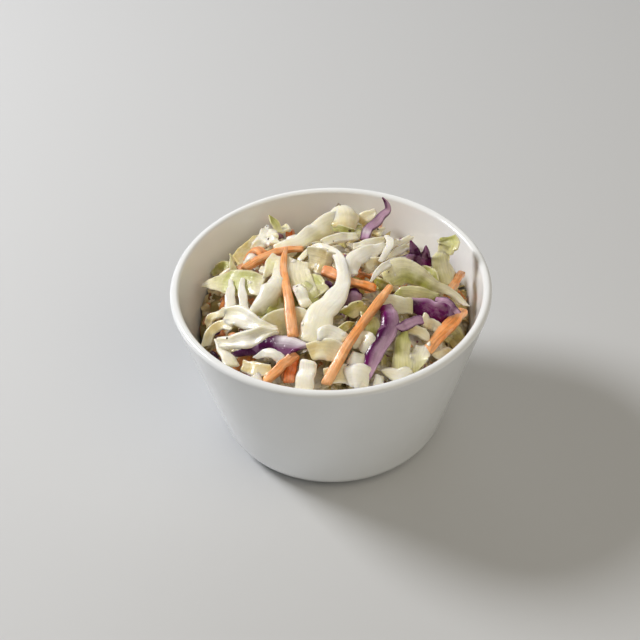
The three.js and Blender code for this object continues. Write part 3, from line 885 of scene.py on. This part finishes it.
def drape(pile, chance, kind, x, y, room, thickest, way):
    # one shred dropped with its middle at x, y: it sags over what lies there, up to the given room
    setup = kinds[kind]
    cell = pile.cell
    length = chance.uniform(*fill["lengths"][kind])
    wide = chance.uniform(*fill["widths"][kind])
    thick = min(setup["thick"] * chance.uniform(*dropped["thicknesses"]), thickest)
    heading = chance.uniform(0, math.pi)
    turning = chance.normal() * setup["turning"]
    run = np.arange(-length / 2, length / 2, cell)
    angle = heading + turning * run
    px = x + np.cumsum(np.cos(angle)) * cell
    py = y + np.cumsum(np.sin(angle)) * cell
    px += x - px[len(px) // 2]
    py += y - py[len(py) // 2]
    out = np.hypot(px, py)
    edge = innerRadius(heapHeight(px, py) - 1) - dropped["wallClear"] - wide * 0.35
    scale = np.where(out > edge, edge / np.maximum(out, 1e-6), 1)
    px, py = px * scale, py * scale
    offsets = np.arange(-wide / 2, wide / 2 + cell / 2, cell)
    gx = px[:, None] + np.sin(angle)[:, None] * offsets[None, :]
    gy = py[:, None] - np.cos(angle)[:, None] * offsets[None, :]
    i, j = pile.cells(gx, gy)
    under = pile.top[i, j]
    support = np.percentile(under, 75, axis=1) + thick / 2
    z = smooth(np.maximum(support, smooth(support, setup["stiff"])), 9)
    # it bows and tips a little
    bow = chance.normal() * dropped["bow"] * ((run / length * 2) ** 2 - 0.3)
    tip = chance.normal() * dropped["tip"] * run / length * 2
    rise = chance.uniform(*way["rise"]) if "rise" in way else 0
    lid = smooth(room[i, j].min(axis=1), 5) - thick / 2 + fill["clear"]
    z = smooth(np.minimum(z + (bow + tip) + rise, lid), 5)
    lean = np.zeros(len(z))
    if len(offsets) > 2:
        lean = np.degrees(np.arctan(np.polyfit(offsets, under.T, 1)[0]))
    lean = smooth(np.clip(lean, -dropped["mostLean"], dropped["mostLean"]), 11)
    step = max(1, len(px) // dropped["places"])
    own = {
        **setup,
        "thick": thick,
        "roll": -lean[::step] * dropped["leaning"],
        "tint": setup["tint"][::-1] if chance.random() >= 1 - fill["reversed"] else setup["tint"],
        "curl": [chance.normal() * dropped["curl"]],
        "ruffle": [tall * chance.uniform(*dropped["ruffles"]) for tall in setup["ruffle"]],
    }
    path = np.stack([px, py, z], 1)[::step]
    widths = [wide * part for part in dropped["widths"]]
    vertices, shades, fibre = makeShred(path, widths, own, chance, way["spacing"], way["around"], up)
    height = np.repeat((z + thick / 2)[:, None], len(offsets), 1)
    return (keepInside(vertices), shades, fibre), (i, j), height


def fillHollows(pile, chance):
    # shreds laid one by one into whatever hollow is deepest, so that they pile up as dropped ones do
    made = []
    waves = chance.uniform((-0.9, -0.9, 0), (0.9, 0.9, 6.3), (7, 3))
    swell = sum(np.sin(pile.x * a + pile.y * b + c) for a, b, c in waves)
    beside = np.clip(1 - (pile.wallFrom - pile.out) / fill["wallDropWithin"], 0, 1)
    sink = np.where(pile.near(fill["sinkWithin"]), fill["sink"], fill["openSink"])
    level = pile.mean - sink + fill["uneven"] * swell / 2 - fill["wallDrop"] * beside
    hollowX, hollowY, hollowRadius, hollowDepth = fill["hollow"]
    away = (pile.x - hollowX) ** 2 + (pile.y - hollowY) ** 2
    level -= hollowDepth * np.exp(-away / hollowRadius ** 2)
    room = np.minimum(level, pile.ceiling - fill["clear"])
    inside = pile.out < pile.wallFrom - fill["wallMargin"]
    misses = 0
    while len(made) < fill["most"] and misses < fill["misses"]:
        gap = np.where(inside, room - pile.top, -9)
        picks = chance.integers(0, gap.size, fill["looks"])
        best = picks[np.argmax(gap.ravel()[picks])]
        deepest = gap.ravel()[best]
        if deepest < fill["lowest"]:
            misses += 1
            continue
        kind = chance.choice(fill["kinds"], p=fill["shares"])
        if kind in ("carrot", "red") and deepest < fill["colouredFrom"]:
            kind = "ribbon"
        x, y = pile.x.ravel()[best], pile.y.ravel()[best]
        shred, cells, height = drape(pile, chance, kind, x, y, room, deepest + 0.6, fill)
        made.append((kind, *shred))
        np.maximum.at(pile.top, cells, height)
    return made


def sighted(vertices):
    # for each point its column, counted from the left, and how far up it shows from the front
    x, y, z = vertices.reshape(-1, 3).T
    columns = topping["columns"]
    column = np.clip((x / topping["columnWide"] + columns / 2).astype(int), 0, columns - 1)
    return column, z + math.tan(math.radians(topping["sightLine"])) * y


def topUp(pile, chance, laidOnes):
    # loose shreds behind the crest, as the line of sight from the front grazes it
    crest = np.full(topping["columns"], -pile.open)
    for vertices, *_ in laidOnes:
        column, seen = sighted(vertices)
        np.maximum.at(crest, column, seen)
    # a thin shred that stands up alone hides nothing
    crest = np.min([np.roll(crest, k) for k in range(-2, 3)], axis=0)
    made = []
    near = pile.near(topping["apart"])
    spots = np.argwhere((pile.out < pile.wallFrom - topping["wallMargin"]) & ~near)
    room = np.where(near, pile.ceiling - fill["clear"], pile.open)
    tries = 0
    while len(made) < topping["count"] and tries < topping["tries"]:
        tries += 1
        i, j = spots[chance.integers(len(spots))]
        kind = chance.choice(fill["kinds"], p=topping["shares"])
        x, y = pile.x[i, j], pile.y[i, j]
        shred, cells, height = drape(pile, chance, kind, x, y, room, topping["thickest"], topping)
        column, seen = sighted(shred[0])
        behind = (seen < crest[column] - topping["under"]).all()
        proud = pile.top[cells] > pile.mean[cells] + topping["proud"]
        if not behind or proud.mean() > topping["proudShare"] or shred[0][..., 1].min() < topping["nearest"]:
            continue
        made.append((kind, *shred))
        np.maximum.at(pile.top, cells, height)
    return made


def soakedAndShaded(vertices, shades):
    # deeper in the heap everything is painted yellower and darker: partly dressing and juice, partly painted
    # shade in the gaps
    level = heapHeight(vertices[..., 0], vertices[..., 1])
    z = vertices[..., 2]
    depth = np.clip((level + heap["soakAndShadeFrom"] - z) / heap["soakAndShadeOver"], 0, 1)
    depth = depth * depth * (3 - 2 * depth)
    deeper = np.clip((level + heap["juiceAndShadeFrom"] - z) / heap["juiceAndShadeOver"], 0, 1)
    shades = shades * (1 - depth[..., None] * (1 - toLinear(heap["soakAndShadeTint"])))
    return shades * (1 - deeper[..., None] * (1 - toLinear(heap["juiceAndShadeTint"])))


def joinShreds(name, shreds, material):
    # one mesh from many shreds, each a closed tube of rings with a point at both ends
    points, corners, starts, shades, fibres = [], [], [], [], []
    first = 0
    loops = 0
    for vertices, shade, fibre in shreds:
        rings, around = vertices.shape[:2]
        index = first + np.arange(rings * around).reshape(rings, around)
        nextAround = np.roll(index, -1, axis=1)
        quads = np.stack([index[:-1], index[1:], nextAround[1:], nextAround[:-1]], -1).reshape(-1, 4)
        tips = first + rings * around + np.arange(2)
        startFan = np.stack([index[0], nextAround[0], np.full(around, tips[0])], -1)
        endFan = np.stack([nextAround[-1], index[-1], np.full(around, tips[1])], -1)
        for faces in (quads, startFan, endFan):
            starts.append(loops + np.arange(len(faces)) * faces.shape[1])
            loops += faces.size
            corners.append(faces.ravel())
        for into, values in ((points, vertices), (shades, shade), (fibres, fibre)):
            into.append(values.reshape(-1, 3))
            into.append(values[[0, -1]].mean(axis=1))
        first += rings * around + 2
    mesh = bpy.data.meshes.new(name)
    mesh.vertices.add(first)
    mesh.vertices.foreach_set("co", (np.vstack(points) * mm).ravel().astype(np.float32))
    mesh.loops.add(loops)
    mesh.loops.foreach_set("vertex_index", np.concatenate(corners).astype(np.int32))
    starts = np.concatenate(starts)
    mesh.polygons.add(len(starts))
    mesh.polygons.foreach_set("loop_start", starts.astype(np.int32))
    mesh.polygons.foreach_set("use_smooth", np.ones(len(starts), bool))
    mesh.update(calc_edges=True)
    opaque = np.hstack([np.clip(np.vstack(shades), 0, 1), np.ones((first, 1))])
    tint = mesh.attributes.new("tint", "FLOAT_COLOR", "POINT")
    tint.data.foreach_set("color", opaque.ravel().astype(np.float32))
    grain = mesh.attributes.new("fibre", "FLOAT_VECTOR", "POINT")
    grain.data.foreach_set("vector", np.vstack(fibres).ravel().astype(np.float32))
    mesh.materials.append(material)
    piece = bpy.data.objects.new(name, mesh)
    bpy.context.collection.objects.link(piece)
    return piece


# The finishes of the salad. Cover, under and film say how much dressing, light below the skin and wet film
# there is. Depth, how far light reaches, and the heights of the two bumps are in millimetres.
finishes = {
    # Fresh cabbage cut by machine, wet with creamy dressing: translucent, milky where it clings, glossy.
    "white": dict(
        name="white cabbage, cut and dressed", dressing="#f3eedc", cover=0.5, under=0.5,
        glow=(1.0, 0.86, 0.5), depth=2.2, gloss=(0.24, 0.44), patches=(0.42, 0.66), film=0.45,
        streak=0.10, streakBump=0.08, lumpBump=0.18),
    # Outer leaf: thinner, greener, its veins show, less dressing stays on it.
    "leaf": dict(
        name="cabbage leaf, cut and dressed", dressing="#f0edd2", cover=0.35, under=0.4,
        glow=(0.95, 1.0, 0.45), depth=1.8, gloss=(0.24, 0.42), patches=(0.42, 0.66), film=0.45,
        streak=0.18, streakBump=0.16, lumpBump=0.25),
    # Red cabbage: dark waxy skin, so the wet shine is sharp, and dressing turns it lilac.
    "red": dict(
        name="red cabbage, cut and dressed", dressing="#c9a3c4", cover=0.22, under=0.05,
        glow=(0.8, 0.3, 0.7), depth=0.8, gloss=(0.12, 0.32), patches=(0.52, 0.60), film=0.2,
        streak=0.22, streakBump=0.12, lumpBump=0.3),
    # Carrot cut into sticks: dense, faintly ridged along the cut, with a thin milky film.
    "carrot": dict(
        name="carrot sticks, dressed", dressing="#fccb9d", cover=0.38, under=0.2,
        glow=(1.0, 0.4, 0.12), depth=1.2, gloss=(0.28, 0.46), patches=(0.45, 0.60), film=0.35,
        streak=0.40, streakBump=0.3, lumpBump=0.18),
}
grains = {
    # how wide each pattern is, in millimetres
    "fibreLong": 7,
    "fibreWide": 0.7,
    "fibreThick": 1.25,
    "dents": 1.9,
    "dressingPatches": 4.3,
    "soakedLumps": 2.5,
    "crackedFaces": 0.4,
    "dabs": 1.1,
}


def dressed(look):
    material, tree = newMaterial(look["name"])
    place = addNode(tree, "ShaderNodeTexCoord").outputs["Object"]
    tint = addNode(tree, "ShaderNodeAttribute", attribute_name="tint")
    fibre = addNode(tree, "ShaderNodeAttribute", attribute_name="fibre")
    drawnOut = (1 / grains["fibreLong"], 1 / grains["fibreWide"], 1 / grains["fibreThick"])
    drawn = addNode(tree, "ShaderNodeVectorMath", {
        0: fibre.outputs["Vector"], 1: drawnOut}, operation="MULTIPLY")
    streaks = addNode(tree, "ShaderNodeTexNoise", {"Vector": drawn.outputs[0], "Scale": 1.0, "Detail": 3.0})
    lumps = addNode(tree, "ShaderNodeTexNoise", {
        "Vector": place, "Scale": 1 / (grains["dents"] * mm), "Detail": 2.0})
    patches = addNode(tree, "ShaderNodeTexNoise", {
        "Vector": place, "Scale": 1 / (grains["dressingPatches"] * mm), "Detail": 3.0})
    cling = addNode(tree, "ShaderNodeMapRange", {
        "Value": patches.outputs["Fac"], "From Min": look["patches"][0], "From Max": look["patches"][1],
        "To Max": look["cover"]}, interpolation_type="SMOOTHSTEP")
    darker = addNode(tree, "ShaderNodeMapRange", {
        "Value": streaks.outputs["Fac"], "From Min": 0.3, "From Max": 0.7,
        "To Min": 1 - look["streak"], "To Max": 1 + look["streak"] * 0.4})
    # sockets 0, 6 and 7 of a Mix node set to colour are its factor and its two colours
    fibrous = addNode(tree, "ShaderNodeMix", {
        0: 1.0, 6: tint.outputs["Color"], 7: darker.outputs["Result"]},
        data_type="RGBA", blend_type="MULTIPLY")
    coated = addNode(tree, "ShaderNodeMix", {
        0: cling.outputs["Result"], 6: fibrous.outputs[2], 7: rgba(look["dressing"])}, data_type="RGBA")
    gloss = addNode(tree, "ShaderNodeMapRange", {
        "Value": lumps.outputs["Fac"], "From Min": 0.3, "From Max": 0.7,
        "To Min": look["gloss"][0], "To Max": look["gloss"][1]})
    ridges = addNode(tree, "ShaderNodeBump", {
        "Height": streaks.outputs["Fac"], "Strength": 1.0, "Distance": look["streakBump"] * mm})
    bumps = addNode(tree, "ShaderNodeBump", {
        "Height": lumps.outputs["Fac"], "Strength": 1.0, "Distance": look["lumpBump"] * mm,
        "Normal": ridges.outputs["Normal"]})
    shader = addNode(tree, "ShaderNodeBsdfPrincipled", {
        "Base Color": coated.outputs[2], "Roughness": gloss.outputs["Result"],
        "Normal": bumps.outputs["Normal"], "IOR": 1.42, "Subsurface Weight": look["under"],
        "Subsurface Radius": look["glow"], "Subsurface Scale": look["depth"] * mm,
        "Coat Weight": look["film"], "Coat Roughness": 0.14})
    addNode(tree, "ShaderNodeOutputMaterial", {"Surface": shader.outputs[0]})
    return material


def shadedCoreMaterial():
    # Deep in the heap: shreds steeped in dressing, yellower than the top and wet; they are painted darker as
    # the shade deep in the heap.
    material, tree = newMaterial("slaw, soaked")
    place = addNode(tree, "ShaderNodeTexCoord").outputs["Object"]
    tint = addNode(tree, "ShaderNodeAttribute", attribute_name="tint")
    lumps = addNode(tree, "ShaderNodeTexNoise", {
        "Vector": place, "Scale": 1 / (grains["soakedLumps"] * mm), "Detail": 3.0})
    bumps = addNode(tree, "ShaderNodeBump", {
        "Height": lumps.outputs["Fac"], "Strength": 1.0, "Distance": 0.4 * mm})
    shader = addNode(tree, "ShaderNodeBsdfPrincipled", {
        "Base Color": tint.outputs["Color"], "Roughness": 0.45,
        "Normal": bumps.outputs["Normal"], "IOR": 1.42})
    addNode(tree, "ShaderNodeOutputMaterial", {"Surface": shader.outputs[0]})
    return material


core = {
    # tints of the steeped slaw, darkened: partly its own colour in dressing, partly painted shade
    "tints": ["#85733c", "#73642f", "#93834f", "#586126", "#3f1a42", "#8c4f20"],
    "shares": [0.3, 0.22, 0.2, 0.14, 0.06, 0.08],
    "ridges": 420,
    "lengths": (10, 22),
    "widths": (2.5, 5),
    "reach": 48,  # ridges have their middles within this of the axis, along X and Y
    "high": 1.2,
    "gap": 0.4,  # clear distance from the wall and from the floor
    "heelIn": 12,  # it draws in this much near the floor
    "heelHigh": 14,
    "rings": 84,
    "sides": 200,
}


def makeCore(pile, chance):
    # a solid of slaw steeped in dressing, painted dark as the shade deep in the heap; its top has crossing
    # ridges in relief, and it stops short of the wall
    tints = [toLinear(tint) for tint in core["tints"]]
    coreShadeGrid = np.zeros(pile.top.shape + (3,)) + tints[0]
    for k in range(core["ridges"]):
        x, y = chance.uniform(-core["reach"], core["reach"], 2)
        heading = chance.uniform(0, math.pi)
        length = chance.uniform(*core["lengths"])
        wide = chance.uniform(*core["widths"])
        dx, dy = pile.x - x, pile.y - y
        along = dx * math.cos(heading) + dy * math.sin(heading)
        across = -dx * math.sin(heading) + dy * math.cos(heading)
        inside = np.clip(1 - (across / wide * 2) ** 2, 0, 1) * (np.abs(along) < length / 2)
        level = heapHeight(x, y) - heap["coreDepth"] + chance.uniform(-0.5, 1.2)
        sloping = level + along * chance.normal() * 0.03
        ridge = np.where(inside > 0, sloping + np.sqrt(inside) * core["high"], -pile.open)
        over = ridge > pile.top
        coreShadeGrid[over] = tints[chance.choice(len(tints), p=core["shares"])]
        pile.top = np.maximum(pile.top, ridge)
    floorZ = bowl["floor"] + core["gap"]
    share = np.linspace(0, 1, core["rings"])
    a = np.linspace(0, 2 * math.pi, core["sides"], endpoint=False)
    edge = innerRadius(bowl["height"] - heap["drop"] - heap["coreDepth"]) - core["gap"]
    x, y = share[:, None] * edge * np.cos(a), share[:, None] * edge * np.sin(a)
    i, j = pile.cells(x, y)
    z = pile.top[i, j]
    topCoreShades = coreShadeGrid[i, j]
    # below its edge it follows the wall down to the floor
    low = np.linspace(1, 0, 8)[1:]
    lowZ = z[-1] * low[:, None] + floorZ * (1 - low[:, None])
    drawIn = 1 - np.sqrt(np.clip((lowZ - floorZ + 0.5) / core["heelHigh"], 0, 1))
    lowR = np.minimum(innerRadius(lowZ) - core["gap"], edge) - core["heelIn"] * drawIn
    x = np.vstack([x, lowR * np.cos(a)])[1:]
    y = np.vstack([y, lowR * np.sin(a)])[1:]
    z = np.vstack([z, lowZ])[1:]
    shades = np.vstack([topCoreShades, np.repeat(topCoreShades[-1:], len(low), axis=0)])[1:]
    vertices = np.stack([x, y, z], -1)
    return joinShreds("coleslaw.core", [(vertices, shades, vertices)], shadedCoreMaterial())


scattered = {
    # density in bits per square metre of shred; the lowest is counted from the table
    "pepper": {
        "Density": 2600.0, "Smallest": 0.45 * mm, "Largest": 0.95 * mm, "Flat": 0.6,
        "Lowest": 50.0 * mm, "Seed": 3},
    "dressing": {
        "Density": 5000.0, "Smallest": 0.7 * mm, "Largest": 1.7 * mm, "Flat": 0.2,
        "Lowest": 50.0 * mm, "Seed": 8},
}


def scatterTree(material):
    # bits strewn over whatever faces upward
    tree = newTree("strewn", {
        "Density": "Float", "Smallest": "Float", "Largest": "Float", "Flat": "Float", "Lowest": "Float",
        "Seed": "Int"})
    given = addNode(tree, "NodeGroupInput").outputs
    facing = addNode(tree, "GeometryNodeInputNormal")
    facingParts = addNode(tree, "ShaderNodeSeparateXYZ", {"Vector": facing.outputs[0]})
    upward = addNode(tree, "FunctionNodeCompare", {
        "A": facingParts.outputs["Z"], "B": 0.3}, operation="GREATER_THAN")
    place = addNode(tree, "GeometryNodeInputPosition")
    placeParts = addNode(tree, "ShaderNodeSeparateXYZ", {"Vector": place.outputs[0]})
    high = addNode(tree, "FunctionNodeCompare", {
        "A": placeParts.outputs["Z"], "B": given["Lowest"]}, operation="GREATER_THAN")
    both = addNode(tree, "FunctionNodeBooleanMath", {
        0: upward.outputs[0], 1: high.outputs[0]}, operation="AND")
    strewn = addNode(tree, "GeometryNodeDistributePointsOnFaces", {
        "Mesh": given["Geometry"], "Selection": both.outputs[0], "Density": given["Density"],
        "Seed": given["Seed"]})
    bead = addNode(tree, "GeometryNodeMeshIcoSphere", {"Radius": 0.5, "Subdivisions": 2})
    size = addNode(tree, "FunctionNodeRandomValue", {
        2: given["Smallest"], 3: given["Largest"], "Seed": given["Seed"]}, data_type="FLOAT")
    long = addNode(tree, "FunctionNodeRandomValue", {2: 0.7, 3: 1.3, "Seed": 21}, data_type="FLOAT")
    across = addNode(tree, "ShaderNodeMath", {0: size.outputs[1], 1: long.outputs[1]}, operation="MULTIPLY")
    thin = addNode(tree, "ShaderNodeMath", {0: size.outputs[1], 1: given["Flat"]}, operation="MULTIPLY")
    shape = addNode(tree, "ShaderNodeCombineXYZ", {
        "X": across.outputs[0], "Y": size.outputs[1], "Z": thin.outputs[0]})
    placed = addNode(tree, "GeometryNodeInstanceOnPoints", {
        "Points": strewn.outputs["Points"], "Instance": bead.outputs["Mesh"],
        "Rotation": strewn.outputs["Rotation"], "Scale": shape.outputs[0]})
    whole = addNode(tree, "GeometryNodeRealizeInstances", {"Geometry": placed.outputs["Instances"]})
    done = addNode(tree, "GeometryNodeSetMaterial", {
        "Geometry": whole.outputs["Geometry"], "Material": material})
    addNode(tree, "NodeGroupOutput", {"Geometry": done.outputs["Geometry"]})
    return tree


def strew(name, shreds, material):
    holder = joinShreds("strewn " + name, shreds, material)
    piece = shaped(holder, scatterTree(material), scattered[name], "coleslaw." + name)
    for face in piece.data.polygons:
        face.use_smooth = name == "dressing"
    return piece


def crackedPepper():
    # Black pepper, cracked: dark brown, matt, with paler broken faces.
    material, tree = newMaterial("black pepper, cracked")
    place = addNode(tree, "ShaderNodeTexCoord").outputs["Object"]
    patches = addNode(tree, "ShaderNodeTexNoise", {
        "Vector": place, "Scale": 1 / (grains["crackedFaces"] * mm), "Detail": 1.0})
    bump = addNode(tree, "ShaderNodeBump", {
        "Height": patches.outputs["Fac"], "Strength": 1.0, "Distance": 0.15 * mm})
    tone = addNode(tree, "ShaderNodeMix", {
        0: patches.outputs["Fac"], 6: rgba("#1f140d"), 7: rgba("#6b5038")}, data_type="RGBA")
    shader = addNode(tree, "ShaderNodeBsdfPrincipled", {
        "Base Color": tone.outputs[2], "Roughness": 0.6, "Normal": bump.outputs["Normal"]})
    addNode(tree, "ShaderNodeOutputMaterial", {"Surface": shader.outputs[0]})
    return material


def creamyDressing():
    # Dressing, stirred: oil and milk whipped to a cream, white, smooth and very glossy in its dabs.
    material, tree = newMaterial("dressing, stirred")
    place = addNode(tree, "ShaderNodeTexCoord").outputs["Object"]
    soft = addNode(tree, "ShaderNodeTexNoise", {
        "Vector": place, "Scale": 1 / (grains["dabs"] * mm), "Detail": 1.0})
    bump = addNode(tree, "ShaderNodeBump", {
        "Height": soft.outputs["Fac"], "Strength": 1.0, "Distance": 0.15 * mm})
    tone = addNode(tree, "ShaderNodeMix", {
        0: soft.outputs["Fac"], 6: rgba("#f0e9d2"), 7: rgba("#faf7ec")}, data_type="RGBA")
    shader = addNode(tree, "ShaderNodeBsdfPrincipled", {
        "Base Color": tone.outputs[2], "Roughness": 0.2, "Normal": bump.outputs["Normal"], "IOR": 1.46,
        "Subsurface Weight": 0.4, "Subsurface Radius": (1.0, 0.95, 0.8), "Subsurface Scale": 1.0 * mm})
    addNode(tree, "ShaderNodeOutputMaterial", {"Surface": shader.outputs[0]})
    return material


# Each piece of shreds: its finish, and its slot.
shredPieces = {
    "ribbons": ("white", "dressed_cabbage"),
    "shreds": ("white", "dressed_cabbage"),
    "leaves": ("leaf", "cabbage_leaf"),
    "redCabbage": ("red", "red_cabbage"),
    "carrots": ("carrot", "carrot"),
}
# The piece that each kind goes to; white ones that are filled in go to another.
homes = {"ribbon": "ribbons", "rib": "ribbons", "leaf": "leaves", "red": "redCabbage", "carrot": "carrots"}
filledHomes = {**homes, "ribbon": "shreds", "rib": "shreds"}


def makeSalad():
    chance = np.random.default_rng(heap["seed"])
    pile = Pile()
    corePiece = makeCore(pile, chance)
    print("the core of the heap is made")
    groups = {name: [] for name in shredPieces}
    for kind, path, wide, own in laid:
        cut = {**kinds[kind], **own}
        places = np.array(path, float)
        places[:, 2] += heapHeight(places[:, 0], places[:, 1])
        vertices, shades, fibre = makeShred(places, wide, cut, chance, cut["spacing"], cut["around"], toward)
        vertices = keepInside(vertices)
        pile.press(vertices)
        groups[homes[kind]].append((vertices, soakedAndShaded(vertices, shades), fibre))
    laidOnes = [shred for shreds in groups.values() for shred in shreds]
    filled = fillHollows(pile, chance)
    loose = topUp(pile, chance, laidOnes)
    for made, home in ((loose, homes), (filled, filledHomes)):
        for kind, vertices, shades, fibre in made:
            groups[home[kind]].append((vertices, soakedAndShaded(vertices, shades), fibre))
    print("shreds laid by hand:", len(laid), "filled in:", len(filled), "loose on top:", len(loose))
    materials = {key: dressed(look) for key, look in finishes.items()}
    pieces = []
    for name, (finish, slot) in shredPieces.items():
        pieces.append((joinShreds("coleslaw." + name, groups[name], materials[finish]), slot))
    upper = groups["ribbons"] + groups["leaves"] + groups["shreds"]
    pieces.append((strew("pepper", upper, crackedPepper()), "pepper"))
    pieces.append((strew("dressing", upper, creamyDressing()), "dressing"))
    return corePiece, pieces


corePiece, pieces = makeSalad()
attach(corePiece, "root")
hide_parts("coleslaw")
for piece, slot in pieces:
    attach(piece, "root")
    triangles = sum(len(face.vertices) - 2 for face in piece.data.polygons)
    print(piece.name, len(piece.data.vertices), "vertices", triangles, "triangles")
